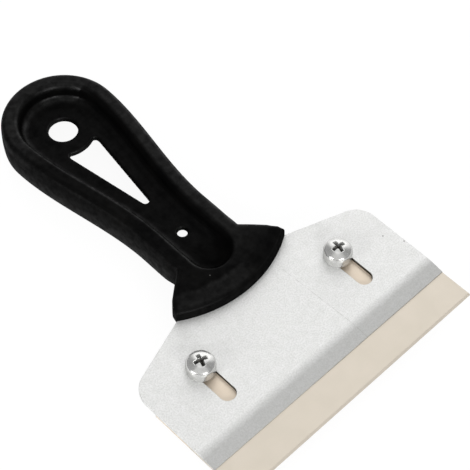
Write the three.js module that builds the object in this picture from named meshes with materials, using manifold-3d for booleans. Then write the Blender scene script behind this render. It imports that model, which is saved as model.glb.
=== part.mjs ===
// A window scraper: a moulded handle with a sheet metal holder whose two slots let a blade slide forward.
// Millimetres, +Z up. The blade points along -Y, the handle along +Y, and the tool lies flat with its
// slotted face up. Sizes are set from the line through the two screws and from the top of the holder
// plate. The whole tool is then placed so that the origin is under the middle of its box.
import * as THREE from "three";
import { ConvexGeometry } from "three/addons/geometries/ConvexGeometry.js";
import { mergeVertices } from "three/addons/utils/BufferGeometryUtils.js";
import Module from "manifold-3d";

// Blade
const bladeWidth = 100;
const bladeThickness = 0.8;
const bladeReach = 38.5; // from the screw line to the cutting edge
const bladeTail = 7.5; // from the screw line to the rear edge
const edgeThickness = 0.12;
const upperGrind = 0.8; // the narrow ground strip that shows along the cutting edge
const upperGrindDrop = 0.2;
const lowerGrind = 3;
const bladeCornerCut = 9; // keeps the rear corners under the plate's round shoulders
const bladeHoleDiameter = 5.5;

// Holder plate
const plateThickness = 1.4;
const lipReach = 26.8; // from the screw line to the front lip
const lipBevel = 5.8;
const lipThickness = 0.25;
const lipBlendRadius = 12;
const shoulderRadius = 8;
const shoulderY = 8.6; // where flank and side would meet if the shoulder were sharp
const slotWidth = 5.5;
const slotRun = 11.25; // between the centres of a slot's round ends
const tangProngWidth = 3.2;
const tangProngY = 38;
const tangWall = 1.45; // plastic between the pocket's foot and the tang, before the moulding gap
const anchorHoleDiameter = 3.6;
const anchorX = 16.5;
const anchorY = 17;
const middleAnchorY = 15;

// Fasteners
const screwInset = 20.1; // from the plate's side to the middle of a slot
const screwSideways = -0.15; // the screws sit this far off the middle of their slots
const screwDiameter = 5;
const screwLength = 10;
const screwPointChamfer = 0.5;
const headDiameter = 9.5;
const headHeight = 4.6;
const headCrownRadius = 5.4;
const headEdgeRound = 0.35;
const recessSpan = 5;
const recessFootSpan = 2.6;
const recessWing = 1.3;
const recessFootWing = 0.8;
const recessDepth = 3;
const washerHoleDiameter = 5.3;
const lockWasherDiameter = 9.2;
const lockWasherThickness = 1.2;
const lockWasherSplit = 0.6;
const plainWasherDiameter = 10;
const plainWasherThickness = 1;
const nutAcrossFlats = 8;
const nutHeight = 4;
const nutChamfer = 0.45;
const nutBoreDiameter = 5.16;

// Handle
const handleEndRadius = 20.6;
const handleHalfHeight = 6.5;
const handleLift = 0.8; // the web's middle plane above the plate's top
const rimTilt = 0.0235; // how far the rims climb for each millimetre towards the round end
const rimLevelY = 92; // where the rims stand out evenly on both sides of the web
const hangingHoleY = 99.6;
const hangingHoleDiameter = 10;
const waistHalfWidth = 13.45;
const waistY = 44; // behind this line the handle widens towards its round end
const sideRound = 1.8;
const rimWidth = 6.3;
const rimInnerRound = 2;
const pocketDraft = 0.3;
const pocketFootRound = 2;
const pocketFootRun = 3.8; // how far the rounded foot reaches over the web
const pocketFrontY = 28.4; // centre of the pocket's round front end
const webThickness = 2.1;
const windowTipY = 56.9;
const windowTipRadius = 1.3;
const windowShoulderY = 88.2;
const windowHalfWidth = 6;
const windowArcHalfWidth = 4.8;
const windowArcRadius = 10.8;
const smallHoleY = 40.5;
const smallHoleDiameter = 3.4;

// Collar
const collarHalfHeight = 3.4;
const collarDrop = 0.5; // the underside lies this much further from the web's middle plane
const collarHalfWidth = 23.7;
const collarFrontY = 10.7;
const collarArcRadius = 44;
const collarBand = 5.7; // the flat band behind the arched front
const collarEdgeRound = 1.6;
const cheekInset = 0.6; // the cheek lies this far in and back from the end of the arched front
const cheekSetback = 2.6;
const earInset = 2.5; // and the ear this far in and back from the cheek
const earSetback = 2.8;
const neckCornerY = 28.8;
const slopeStartY = 35; // in front of this line the neck slopes down to the collar

// Clearances
const seatGap = 0.06; // between clamped faces
const mouldGap = 0.3; // between the plastic and the sheet metal in it
const stopGap = 0.05; // between a screw and the end of its slot
const overrun = 1; // how far a cutting body runs past what it cuts
const weldDistance = 0.0001; // points nearer than this are one point

// Facets
const fineSides = 36;
const coarseSides = 24;
const endArcSteps = 28;
const sideSteps = 9;
const roundSteps = 3;

const up = new THREE.Vector3(0, 0, 1);
const point2 = (x, y) => new THREE.Vector2(x, y);
const point3 = (x, y, z) => new THREE.Vector3(x, y, z);

const wasm = await Module();
wasm.setup();

// A geometry as a solid. Triangles that shrink to a line on a lathe's axis are dropped.
function solid(geometry) {
  const bare = geometry.index ? geometry.toNonIndexed() : geometry.clone();
  bare.deleteAttribute("normal");
  bare.deleteAttribute("uv");
  const merged = mergeVertices(bare, weldDistance);
  const corners = merged.index.array;
  const kept = [];
  for (let i = 0; i < corners.length; i += 3) {
    const [a, b, c] = [corners[i], corners[i + 1], corners[i + 2]];
    if (a !== b && b !== c && c !== a) {
      kept.push(a, b, c);
    }
  }
  const vertProperties = new Float32Array(merged.attributes.position.array);
  const triVerts = new Uint32Array(kept);
  return new wasm.Manifold(new wasm.Mesh({ numProp: 3, vertProperties, triVerts }));
}

function geometryOf(body) {
  const mesh = body.getMesh();
  const geometry = new THREE.BufferGeometry();
  geometry.setAttribute("position", new THREE.BufferAttribute(mesh.vertProperties, 3));
  geometry.setIndex(new THREE.BufferAttribute(mesh.triVerts, 1));
  geometry.computeVertexNormals();
  return geometry;
}

// Points of an arc about (x, y), both ends included.
function arc(x, y, radius, from, to, steps) {
  const points = [];
  for (let i = 0; i <= steps; i += 1) {
    const angle = from + (to - from) * i / steps;
    points.push(point2(x + radius * Math.cos(angle), y + radius * Math.sin(angle)));
  }
  return points;
}

const mirrored = (points) => points.map((p) => point2(-p.x, p.y)).reverse();

// A counter-clockwise loop drawn in by a distance, or pushed out where it is negative.
function drawnIn(loop, distance) {
  return loop.map((point, i) => {
    const before = loop[(i + loop.length - 1) % loop.length];
    const after = loop[(i + 1) % loop.length];
    const arriving = point.clone().sub(before).normalize();
    const leaving = after.clone().sub(point).normalize();
    const inward = point2(-arriving.y - leaving.y, arriving.x + leaving.x);
    return point.clone().addScaledVector(inward, distance / (1 + arriving.dot(leaving)));
  });
}

// A closed body skinned over one loop at several heights, each drawn in by its own distance.
function layered(loop, layers) {
  const positions = [];
  const faces = [];
  const count = loop.length;
  for (const layer of layers) {
    for (const p of drawnIn(loop, layer.inset)) {
      positions.push(p.x, p.y, layer.z);
    }
  }
  for (let level = 0; level + 1 < layers.length; level += 1) {
    for (let i = 0; i < count; i += 1) {
      const low = level * count + i;
      const lowNext = level * count + (i + 1) % count;
      faces.push(low, lowNext, lowNext + count, low, lowNext + count, low + count);
    }
  }
  const topStart = (layers.length - 1) * count;
  const topLoop = drawnIn(loop, layers[layers.length - 1].inset);
  for (const [a, b, c] of THREE.ShapeUtils.triangulateShape(topLoop, [])) {
    faces.push(topStart + a, topStart + b, topStart + c);
  }
  for (const [a, b, c] of THREE.ShapeUtils.triangulateShape(drawnIn(loop, layers[0].inset), [])) {
    faces.push(a, c, b);
  }
  const geometry = new THREE.BufferGeometry();
  geometry.setAttribute("position", new THREE.Float32BufferAttribute(positions, 3));
  geometry.setIndex(faces);
  return solid(geometry);
}

const prism = (loop, low, high) => layered(loop, [{ z: low, inset: 0 }, { z: high, inset: 0 }]);

function disc(x, y, diameter, low, high, sides) {
  const geometry = new THREE.CylinderGeometry(diameter / 2, diameter / 2, high - low, sides);
  geometry.rotateX(Math.PI / 2);
  geometry.translate(x, y, (low + high) / 2);
  return solid(geometry);
}

// A body turned about the Z axis from a profile of (radius, height) points.
function turned(profile, sides) {
  const geometry = new THREE.LatheGeometry(profile, sides);
  geometry.rotateX(Math.PI / 2);
  return solid(geometry);
}

// A profile of (y, z) points carried along X, centred on the middle plane.
function alongX(profile, width) {
  const geometry = new THREE.ExtrudeGeometry(new THREE.Shape(profile), { depth: width, bevelEnabled: false });
  geometry.translate(0, 0, -width / 2);
  geometry.applyMatrix4(new THREE.Matrix4().makeBasis(point3(0, 1, 0), up, point3(1, 0, 0)));
  return solid(geometry);
}

const hull = (points) => solid(new ConvexGeometry(points));

// The stack of clamped pieces, from the head down, measured from the plate's top.
const washerSeat = seatGap;
const headSeat = washerSeat + lockWasherThickness + seatGap;
const bladeTop = -plateThickness - seatGap;
const plainWasherTop = bladeTop - bladeThickness - seatGap;
const nutTop = plainWasherTop - plainWasherThickness - seatGap;
const screwEnd = headSeat - screwLength;
const slotPlay = (slotWidth - screwDiameter) / 2 - stopGap;
const slotRearY = -Math.sqrt(slotPlay ** 2 - screwSideways ** 2);

const collarCentreY = collarFrontY + collarArcRadius;
const arcY = (x, radius) => collarCentreY - Math.sqrt(radius ** 2 - x ** 2);
const plateHalf = bladeWidth / 2;
const slotX = plateHalf - screwInset;
const cheekX = collarHalfWidth - cheekInset;
const cheekY = arcY(collarHalfWidth, collarArcRadius) + cheekSetback;
const earX = cheekX - earInset;
const earY = cheekY + earSetback;

// The plate's plan. Its flanks run from the collar's corners to the shoulders.
function plateLoop() {
  const corner = point2(collarHalfWidth, arcY(collarHalfWidth, collarArcRadius));
  const vertex = point2(plateHalf, shoulderY);
  const flank = corner.clone().sub(vertex).normalize();
  const turn = Math.atan2(flank.y, flank.x) - Math.PI / 2;
  const tangent = shoulderRadius * Math.tan(turn / 2);
  const shoulder = arc(plateHalf - shoulderRadius, shoulderY - tangent, shoulderRadius, 0, turn, roundSteps * 2);
  const prongInner = waistHalfWidth - rimWidth - pocketDraft + tangWall;
  const prongOuter = prongInner + tangProngWidth;
  const prongRoot = vertex.clone().addScaledVector(flank, (prongOuter - vertex.x) / flank.x);
  const right = [
    point2(plateHalf, -lipReach),
    ...shoulder,
    prongRoot,
    point2(prongOuter, tangProngY),
    point2(prongInner, tangProngY),
  ];
  const notch = arc(0, pocketFrontY, prongInner, 0, -Math.PI, endArcSteps / 2);
  return [...right, ...notch, ...mirrored(right)];
}

const anchors = [[anchorX, anchorY], [-anchorX, anchorY], [0, middleAnchorY]];

function holderPlate() {
  let plate = prism(plateLoop(), -plateThickness, 0);
  for (const [x, y] of anchors) {
    plate = plate.subtract(disc(x, y, anchorHoleDiameter, -plateThickness - overrun, overrun, coarseSides));
  }
  for (const side of [1, -1]) {
    const x = side * slotX;
    const rear = arc(x, slotRearY, slotWidth / 2, 0, Math.PI, coarseSides / 2);
    const front = arc(x, slotRearY - slotRun, slotWidth / 2, Math.PI, 2 * Math.PI, coarseSides / 2);
    plate = plate.subtract(prism([...rear, ...front], -plateThickness - overrun, overrun));
  }
  const fall = plateThickness - lipThickness;
  const slope = Math.atan2(fall, lipBevel);
  const blend = lipBlendRadius * Math.tan(slope / 2);
  const bendY = lipBevel - lipReach;
  const bend = arc(bendY + blend, -lipBlendRadius, lipBlendRadius, Math.PI / 2, Math.PI / 2 + slope, roundSteps);
  const wedge = [
    point2(bendY + blend, overrun),
    ...bend,
    point2(-lipReach - overrun, -fall - overrun * Math.tan(slope)),
    point2(-lipReach - overrun, overrun),
  ];
  return plate.subtract(alongX(wedge.reverse(), bladeWidth + 2 * overrun));
}

function blade() {
  const profile = [
    point2(bladeTail, 0),
    point2(upperGrind - bladeReach, 0),
    point2(-bladeReach, -upperGrindDrop),
    point2(-bladeReach, -upperGrindDrop - edgeThickness),
    point2(lowerGrind - bladeReach, -bladeThickness),
    point2(bladeTail, -bladeThickness),
  ];
  let body = alongX(profile, bladeWidth);
  const [low, high] = [-bladeThickness - overrun, overrun];
  for (const side of [1, -1]) {
    body = body.subtract(disc(side * slotX, 0, bladeHoleDiameter, low, high, coarseSides));
    const cut = [
      point2(plateHalf + overrun, bladeTail - bladeCornerCut - overrun),
      point2(plateHalf + overrun, bladeTail + overrun),
      point2(plateHalf - bladeCornerCut - overrun, bladeTail + overrun),
    ];
    body = body.subtract(prism(side > 0 ? cut : mirrored(cut), low, high));
  }
  return body;
}

// A pan head screw, measured from the underside of its head, with a cross recess.
function screw() {
  const shank = screwDiameter / 2;
  const rim = headDiameter / 2;
  const crownCentre = headHeight - headCrownRadius;
  const edgeRadius = rim - headEdgeRound;
  const crown = arc(0, crownCentre, headCrownRadius, Math.acos(edgeRadius / headCrownRadius), Math.PI / 2, roundSteps * 2);
  crown[crown.length - 1].x = 0;
  const profile = [
    point2(0, -screwLength),
    point2(shank - screwPointChamfer, -screwLength),
    point2(shank, screwPointChamfer - screwLength),
    point2(shank, 0),
    point2(rim, 0),
    point2(rim, crown[0].y - headEdgeRound),
    ...crown,
  ];
  let body = turned(profile, fineSides);
  for (const [along, across] of [[point3(1, 0, 0), point3(0, 1, 0)], [point3(0, 1, 0), point3(1, 0, 0)]]) {
    const wing = [];
    for (const a of [1, -1]) {
      for (const b of [1, -1]) {
        const top = along.clone().multiplyScalar(a * recessSpan / 2).addScaledVector(across, b * recessWing / 2);
        const foot = along.clone().multiplyScalar(a * recessFootSpan / 2);
        foot.addScaledVector(across, b * recessFootWing / 2);
        wing.push(top.clone().addScaledVector(up, headHeight + overrun));
        wing.push(top.addScaledVector(up, headHeight));
        wing.push(foot.addScaledVector(up, headHeight - recessDepth));
      }
    }
    body = body.subtract(hull(wing));
  }
  return body;
}

// Washers and the nut, measured from their undersides.
function lockWasher() {
  const ring = disc(0, 0, lockWasherDiameter, 0, lockWasherThickness, fineSides);
  const open = ring.subtract(disc(0, 0, washerHoleDiameter, -overrun, lockWasherThickness + overrun, coarseSides));
  const split = [
    point2(0, -lockWasherSplit / 2),
    point2(lockWasherDiameter, -lockWasherSplit / 2),
    point2(lockWasherDiameter, lockWasherSplit / 2),
    point2(0, lockWasherSplit / 2),
  ];
  return open.subtract(prism(split, -overrun, lockWasherThickness + overrun));
}

function plainWasher() {
  const ring = disc(0, 0, plainWasherDiameter, 0, plainWasherThickness, fineSides);
  return ring.subtract(disc(0, 0, washerHoleDiameter, -overrun, plainWasherThickness + overrun, coarseSides));
}

function nut() {
  const cornerRadius = nutAcrossFlats / 2 / Math.cos(Math.PI / 6);
  const hexagon = disc(0, 0, 2 * cornerRadius, 0, nutHeight, 6);
  const faceRadius = nutAcrossFlats / 2;
  const chamfered = turned([
    point2(0, 0),
    point2(faceRadius, 0),
    point2(cornerRadius, nutChamfer),
    point2(cornerRadius, nutHeight - nutChamfer),
    point2(faceRadius, nutHeight),
    point2(0, nutHeight),
  ], coarseSides);
  const bore = disc(0, 0, nutBoreDiameter, -overrun, nutHeight + overrun, fineSides);
  return hexagon.intersect(chamfered).subtract(bore);
}

// Right side of the handle's plan, from the waist to where the round end begins.
function handleSide() {
  const third = (hangingHoleY - waistY) / 3;
  const curve = new THREE.CubicBezierCurve(
    point2(waistHalfWidth, waistY),
    point2(waistHalfWidth, waistY + third),
    point2(handleEndRadius, hangingHoleY - third),
    point2(handleEndRadius, hangingHoleY),
  );
  return curve.getPoints(sideSteps);
}

// The handle's plan behind a front end given as points from left to right.
function handleLoop(front) {
  const side = handleSide();
  const end = arc(0, hangingHoleY, handleEndRadius, 0, Math.PI, endArcSteps).slice(1, -1);
  return [...front, ...side, ...end, ...mirrored(side)];
}

// Layers of a body with upright sides and rounded edges at its top and bottom.
function edged(halfHeight, round) {
  const above = [];
  for (let i = 0; i <= roundSteps; i += 1) {
    const angle = i / roundSteps * Math.PI / 2;
    above.push({ z: halfHeight - round * (1 - Math.sin(angle)), inset: round * (1 - Math.cos(angle)) });
  }
  const below = above.map((layer) => ({ z: -layer.z, inset: layer.inset })).reverse();
  return [...below, ...above];
}

// The web stays flat while the rims lean up towards the round end and the collar's underside drops.
function leaned(body) {
  const floor = webThickness / 2;
  return body.warp((place) => {
    const share = THREE.MathUtils.smoothstep(place[1], neckCornerY, slopeStartY);
    const depth = Math.abs(place[2]) - floor;
    const rimShare = THREE.MathUtils.clamp(depth / (handleHalfHeight - floor), 0, 1);
    const collarShare = THREE.MathUtils.clamp(depth / (collarHalfHeight - floor), 0, 1);
    const drop = place[2] < 0 ? collarDrop * (1 - share) * collarShare : 0;
    place[2] += rimTilt * (place[1] - rimLevelY) * share * rimShare - drop;
  });
}

// Height of the neck's top above the middle plane on its way down to the collar's band.
const bandRadius = collarArcRadius - collarBand;
const bandFrontY = collarCentreY - bandRadius;
const slopeShare = (y) => (y - bandFrontY) / (slopeStartY - bandFrontY);
const slopeHeight = (y) => collarHalfHeight + (handleHalfHeight - collarHalfHeight) * slopeShare(y);

// The two slopes from the neck down to the collar's band: one in the middle and one on each ear.
function neckSlopes() {
  const middle = [];
  for (const layer of edged(handleHalfHeight, sideRound)) {
    for (const x of [waistHalfWidth - layer.inset, layer.inset - waistHalfWidth]) {
      middle.push(point3(x, slopeStartY, layer.z), point3(x, slopeStartY + sideRound, layer.z));
    }
  }
  const outerX = earX - collarEdgeRound;
  const ears = [];
  for (let i = 0; i <= endArcSteps; i += 1) {
    const x = outerX * (2 * i / endArcSteps - 1);
    for (const z of [-collarHalfHeight, collarHalfHeight]) {
      const place = point3(x, arcY(x, bandRadius), z);
      if (Math.abs(x) <= waistHalfWidth) {
        middle.push(place);
      } else {
        ears.push(place);
      }
    }
  }
  let body = hull(middle);
  const crestX = waistHalfWidth - sideRound;
  const crestZ = slopeHeight(neckCornerY);
  for (const side of [1, -1]) {
    const points = ears.filter((p) => p.x * side > 0);
    for (const z of [-1, 1]) {
      points.push(point3(side * waistHalfWidth, neckCornerY - collarEdgeRound, z * collarHalfHeight));
      points.push(point3(side * outerX, earY - collarEdgeRound, z * collarHalfHeight));
      points.push(point3(side * crestX, neckCornerY, z * crestZ));
      points.push(point3(0, arcY(0, bandRadius), z * collarHalfHeight));
    }
    body = body.add(hull(points));
  }
  return body;
}

// The collar's plan: an arched front, rounded cheeks and ears that run back to the neck.
function collarLoop() {
  const reach = Math.asin(collarHalfWidth / collarArcRadius);
  const front = arc(0, collarCentreY, collarArcRadius, -Math.PI / 2 - reach, -Math.PI / 2 + reach, endArcSteps);
  const right = [point2(cheekX, cheekY), point2(earX, earY), point2(waistHalfWidth, neckCornerY)];
  return [...front, ...right, ...mirrored(right)];
}

// The pocket above the web, cut with a rounded rim and a rounded foot.
function pocket() {
  const front = arc(0, pocketFrontY, waistHalfWidth, Math.PI, 2 * Math.PI, endArcSteps);
  const loop = drawnIn(handleLoop(front), rimWidth);
  const floor = webThickness / 2;
  const layers = [];
  for (let i = 0; i <= roundSteps; i += 1) {
    const angle = i / roundSteps * Math.PI / 2;
    const inset = pocketDraft + pocketFootRun * (1 - Math.sin(angle));
    layers.push({ z: floor + pocketFootRound * (1 - Math.cos(angle)), inset });
  }
  for (let i = 0; i <= roundSteps; i += 1) {
    const angle = i / roundSteps * Math.PI / 2;
    const rise = handleHalfHeight - rimInnerRound * (1 - Math.sin(angle));
    layers.push({ z: rise, inset: -rimInnerRound * (1 - Math.cos(angle)) });
  }
  layers.push({ z: handleHalfHeight + overrun, inset: -rimInnerRound });
  return layered(loop, layers);
}

// The tapered window between the hanging hole's ring and the small hole.
function windowLoop() {
  const tipCentreY = windowTipY + windowTipRadius;
  const lean = Math.atan2(windowHalfWidth - windowTipRadius, windowShoulderY - tipCentreY);
  const tip = arc(0, tipCentreY, windowTipRadius, Math.PI + lean, 2 * Math.PI - lean, roundSteps * 2);
  const half = Math.asin(windowArcHalfWidth / windowArcRadius);
  const ring = arc(0, hangingHoleY, windowArcRadius, -Math.PI / 2 + half, -Math.PI / 2 - half, roundSteps * 3);
  const shoulder = new THREE.QuadraticBezierCurve(
    point2(windowHalfWidth, windowShoulderY),
    point2(windowHalfWidth, ring[0].y),
    ring[0],
  ).getPoints(roundSteps).slice(0, -1);
  return [...tip, ...shoulder, ...ring, ...mirrored(shoulder)];
}

function handle() {
  const tuckedY = slopeStartY - sideRound;
  const neckFront = [point2(-waistHalfWidth, tuckedY), point2(waistHalfWidth, tuckedY)];
  let body = layered(handleLoop(neckFront), edged(handleHalfHeight, sideRound));
  body = body.add(neckSlopes()).add(layered(collarLoop(), edged(collarHalfHeight, collarEdgeRound)));
  const upper = pocket();
  body = body.subtract(upper).subtract(upper.rotate([0, 180, 0]));
  const [low, high] = [-webThickness, webThickness];
  body = body.subtract(disc(0, hangingHoleY, hangingHoleDiameter, low, high, fineSides));
  body = body.subtract(disc(0, smallHoleY, smallHoleDiameter, low, high, coarseSides));
  body = body.subtract(prism(windowLoop(), low, high));
  body = leaned(body).translate([0, 0, handleLift]);
  let bed = prism(drawnIn(plateLoop(), -mouldGap), -plateThickness - mouldGap, mouldGap);
  for (const [x, y] of anchors) {
    const peg = disc(x, y, anchorHoleDiameter - 2 * mouldGap, -plateThickness - overrun, overrun, coarseSides);
    bed = bed.subtract(peg);
  }
  return body.subtract(bed);
}

const blackPlastic = { color: 0x161616, roughness: 0.45, metalness: 0 };
const sheetMetal = { color: 0xdcdcda, roughness: 0.4, metalness: 0.8 };
const creamSteel = { color: 0xdfd5c2, roughness: 0.3, metalness: 0.5 };
const zincPlate = { color: 0xd2d2cf, roughness: 0.2, metalness: 0.9 };

function piece(name, body, look, x = 0, z = 0, turn = 0) {
  const mesh = new THREE.Mesh(geometryOf(body), new THREE.MeshStandardMaterial(look));
  mesh.name = name;
  mesh.position.set(x, 0, z);
  mesh.rotation.z = THREE.MathUtils.degToRad(turn);
  return mesh;
}

// Each screw was left at its own turn when it was tightened.
const screwTurn = { right: -8, left: -15 };
const splitTurn = { right: 65, left: 110 };

const scraper = new THREE.Group();
scraper.add(piece("handle", handle(), blackPlastic));
scraper.add(piece("holder_plate", holderPlate(), sheetMetal));
scraper.add(piece("blade", blade(), creamSteel, 0, bladeTop));
for (const [hand, side] of [["right", 1], ["left", -1]]) {
  const x = side * slotX + screwSideways;
  scraper.add(piece(`screw_${hand}`, screw(), zincPlate, x, headSeat, screwTurn[hand]));
  scraper.add(piece(`lock_washer_${hand}`, lockWasher(), zincPlate, x, washerSeat, splitTurn[hand]));
  scraper.add(piece(`plain_washer_${hand}`, plainWasher(), zincPlate, x, plainWasherTop - plainWasherThickness));
  scraper.add(piece(`nut_${hand}`, nut(), zincPlate, x, nutTop - nutHeight));
}

const rearY = hangingHoleY + handleEndRadius;
scraper.position.set(0, (bladeReach - rearY) / 2, -screwEnd);

export default scraper;
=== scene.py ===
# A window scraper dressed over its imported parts: a moulded black handle, a zinc plated holder, a cream
# blade and the screws that clamp it. Lengths are millimetres, measured from the line through the two
# screws and from the top of the holder plate, and become metres when a mesh is made.
import math

import bmesh
import bpy
import numpy as np
from mathutils import Matrix, Vector
from mathutils.geometry import tessellate_polygon


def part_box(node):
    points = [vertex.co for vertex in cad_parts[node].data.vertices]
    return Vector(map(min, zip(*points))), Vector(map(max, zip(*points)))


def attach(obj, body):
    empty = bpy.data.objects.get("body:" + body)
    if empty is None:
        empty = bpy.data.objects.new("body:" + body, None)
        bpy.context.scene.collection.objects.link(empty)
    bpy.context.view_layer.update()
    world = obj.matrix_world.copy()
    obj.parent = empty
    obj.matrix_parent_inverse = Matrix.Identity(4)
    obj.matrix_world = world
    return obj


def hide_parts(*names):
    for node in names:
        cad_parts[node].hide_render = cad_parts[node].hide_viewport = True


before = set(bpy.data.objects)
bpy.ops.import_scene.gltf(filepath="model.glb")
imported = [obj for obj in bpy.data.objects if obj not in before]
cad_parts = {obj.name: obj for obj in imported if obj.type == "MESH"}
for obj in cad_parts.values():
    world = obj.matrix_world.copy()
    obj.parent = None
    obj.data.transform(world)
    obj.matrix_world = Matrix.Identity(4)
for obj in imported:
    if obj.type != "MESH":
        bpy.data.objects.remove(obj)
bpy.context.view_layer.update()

MILLIMETRE = 0.001


def measured(node):
    """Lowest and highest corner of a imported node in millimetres, from the frame's own origin."""
    low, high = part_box(node)
    return np.array(low) / MILLIMETRE, np.array(high) / MILLIMETRE


plate_low, plate_high = measured("holder_plate")
blade_low, blade_high = measured("blade")
handle_low, handle_high = measured("handle")
screw_low, screw_high = measured("screw_right")
ORIGIN = np.array([0, (screw_low[1] + screw_high[1]) / 2, plate_high[2]])

# Holder plate
PLATE_THICKNESS = plate_high[2] - plate_low[2]
PLATE_HALF = plate_high[0]
LIP_REACH = ORIGIN[1] - plate_low[1]
LIP_BEVEL = 5.8
LIP_THICKNESS = 0.25
LIP_BLEND = 1.6
LIP_CUTS = 9
SHOULDER_RADIUS = 8
SHOULDER_Y = 8.6  # where flank and side would meet if the shoulder were sharp
SLOT_X = 29.9
SLOT_WIDTH = 5.5
SLOT_REAR_Y = -0.13
SLOT_RUN = 11.25
TANG_HALF_WIDTH = 19
PLATE_EDGE_ROUND = 0.16

# Blade
BLADE_REACH = ORIGIN[1] - blade_low[1]
BLADE_TAIL = blade_high[1] - ORIGIN[1]
BLADE_THICKNESS = blade_high[2] - blade_low[2]
BLADE_TOP = blade_high[2] - ORIGIN[2]
BLADE_HOLE = 5.5
BLADE_CORNER_CUT = 9
BLADE_EDGE = 0.12
UPPER_GRIND = 0.8
UPPER_GRIND_DROP = 0.2
LOWER_GRIND = 3
BLADE_EDGE_ROUND = 0.08

# Handle
HANDLE_HALF_HEIGHT = 6.5
HANDLE_MIDDLE = 0.8
HANDLE_END_RADIUS = 20.6
HANGING_HOLE_Y = handle_high[1] - ORIGIN[1] - HANDLE_END_RADIUS
HANGING_HOLE_RADIUS = 5.0
RIM_TILT = 0.0235
RIM_TILT_Y = 92
WAIST_HALF_WIDTH = 13.45
WAIST_Y = 44
SIDE_ROUND = 1.8
SIDE_DRAFT = 0.4
RIM_WIDTH = 6.3
RIM_INNER_ROUND = 2.0
POCKET_DRAFT = 0.3
POCKET_FOOT_ROUND = 2.0
POCKET_FOOT_RUN = 3.8
POCKET_FRONT_Y = 28.4
WEB_THICKNESS = 2.1
WINDOW_TIP_Y = 56.9
WINDOW_TIP_RADIUS = 1.3
WINDOW_SHOULDER_Y = 88.2
WINDOW_HALF_WIDTH = 6
WINDOW_ARC_HALF_WIDTH = 4.8
WINDOW_ARC_RADIUS = 10.8
SMALL_HOLE_Y = 40.5
SMALL_HOLE_RADIUS = 1.7
HOLE_EDGE_ROUND = 0.55
SMALL_HOLE_EDGE_ROUND = 0.8

# Collar
COLLAR_HALF_HEIGHT = 3.4
COLLAR_DROP = 0.5
COLLAR_HALF_WIDTH = handle_high[0]
COLLAR_FRONT_Y = handle_low[1] - ORIGIN[1]
COLLAR_ARC_RADIUS = 44
COLLAR_BAND = 5.7
COLLAR_DISH = 0.25
COLLAR_CENTRE_Y = COLLAR_FRONT_Y + COLLAR_ARC_RADIUS
BAND_RADIUS = COLLAR_ARC_RADIUS - COLLAR_BAND
BAND_REACH = 0.9 * BAND_RADIUS
CHEEK_INSET = 0.6
CHEEK_SETBACK = 2.6
EAR_INSET = 2.5
EAR_SETBACK = 2.8
NECK_CORNER_Y = 28.8
SLOPE_START_Y = 35
SLOPE_BLEND = 0.7
FOOT_BLEND = 0.5

# Fasteners
THREAD_RADIUS = 2.47
THREAD_DEPTH = 0.45
THREAD_PITCH = 0.8
THREAD_SLOPE = 3
THREAD_FLANK = 1.6
THREAD_ROWS = 10
THREAD_SIDES = 48
SCREW_END_CHAMFER = 0.6
HEAD_RADIUS = (screw_high[0] - screw_low[0]) / 2
HEAD_HEIGHT = 4.6
HEAD_CROWN_RADIUS = 6.6
HEAD_EDGE_ROUND = 0.6
RECESS_SPAN = 4.9
RECESS_FOOT_SPAN = 2.4
RECESS_WING = 1.25
RECESS_FOOT_WING = 0.75
RECESS_DEPTH = 3
RECESS_CLIMB = 0.7
RECESS_ROUND = 0.14
WASHER_HOLE = 5.3
LOCK_WASHER = 9.2
LOCK_WASHER_SPLIT = 0.6
LOCK_WASHER_LIFT = 0.05
WASHER_EDGE_ROUND = 0.2
WASHER_ROUND_STEPS = 4
WASHER_STEPS = 72
PLAIN_WASHER = 10
NUT_FLATS = 8
NUT_BORE = 5.14
NUT_CHAMFER = 0.5
NUT_CHAMFER_ANGLE = 30
NUT_EDGE_ROUND = 0.1
NUT_BORE_ROUND = 0.06
NUT_BORE_SLOPE = 0.7
SCREW_TURN = {"right": -8, "left": -15}
SPLIT_TURN = {"right": 65, "left": 110}

# All finishes
NOISE_DETAIL = 3
NOISE_ROUGHNESS = 0.55
NOISE_SPAN = (0.35, 0.65)
UPRIGHT_LEVELS = (0.35, 0.75)

# Black plastic. Its shine is a coat that is strong on edges and the rim and weak in the pocket, by height and
# place. It imitates the photograph's light and stays where it is when the light changes.
PLASTIC_TONES = ((0.0015, 0.0015, 0.0016), (0.003, 0.0029, 0.0028))
COLLAR_SPECK = (-6.65, 20.54, 4.2)
COLLAR_SPECK_RADIUS = 0.3
COLLAR_SPECK_TONE = (0.16, 0.16, 0.15)
PATCH_SIZE = 9
SCUFF_SIZE = 0.5
SCUFF_STRETCH = (1, 0.12, 1)
SCUFF_SPAN = (0.62, 0.72)
SCUFF_TURN = 0.4
GLOSS_SIZE = 4
SCUFF_ROUGHNESS = 0.12
PLASTIC_ROUGHNESS = (0.33, 0.4)
SHEEN_ROUGHNESS = 0.37
# Strengths of the coat: painted sheen on flats, the rim, the collar band and edges, painted shade on shaded
# walls
FLAT_SHEEN = 0.056
RIM_SHEEN = 0.19
BAND_SHEEN = 0.26
EDGE_SHEEN = 0.34
SHADED_SHEEN = 0.024
TILTED_LEVELS = (0.985, 0.9)
STANDING_LEVELS = (0.5, 0.15)
WALL_HEIGHTS = (-5, 4)
WALL_SHARES = (0.45, 0.1)
OUTER_SIDE = (-0.96, -0.28, 0)
OUTER_TURNS = (0.1, 0.4)
OUTER_X = (-8, -11)
# Painted sheen on the outer left wall, weaker higher up: heights and shares
OUTER_SHEEN_HEIGHTS = (-4, 5)
OUTER_SHEEN_SHARES = (1.0, 0.25)
RIM_HEIGHTS = (3, 5.5)
RIM_X = (-2, 4)
BAND_WAVE = (-0.6, 0.6)
BAND_WAVE_SIZE = 5
BAND_EDGES = (BAND_RADIUS - 1.8, BAND_RADIUS - 0.4)
BAND_X = (9, 1)
SHADED_SIDE = (-0.9, 0.43, 0)
SHADED_TURNS = (0.02, 0.55)
SHADED_X = RIM_WIDTH / 3 - WAIST_HALF_WIDTH
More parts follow.
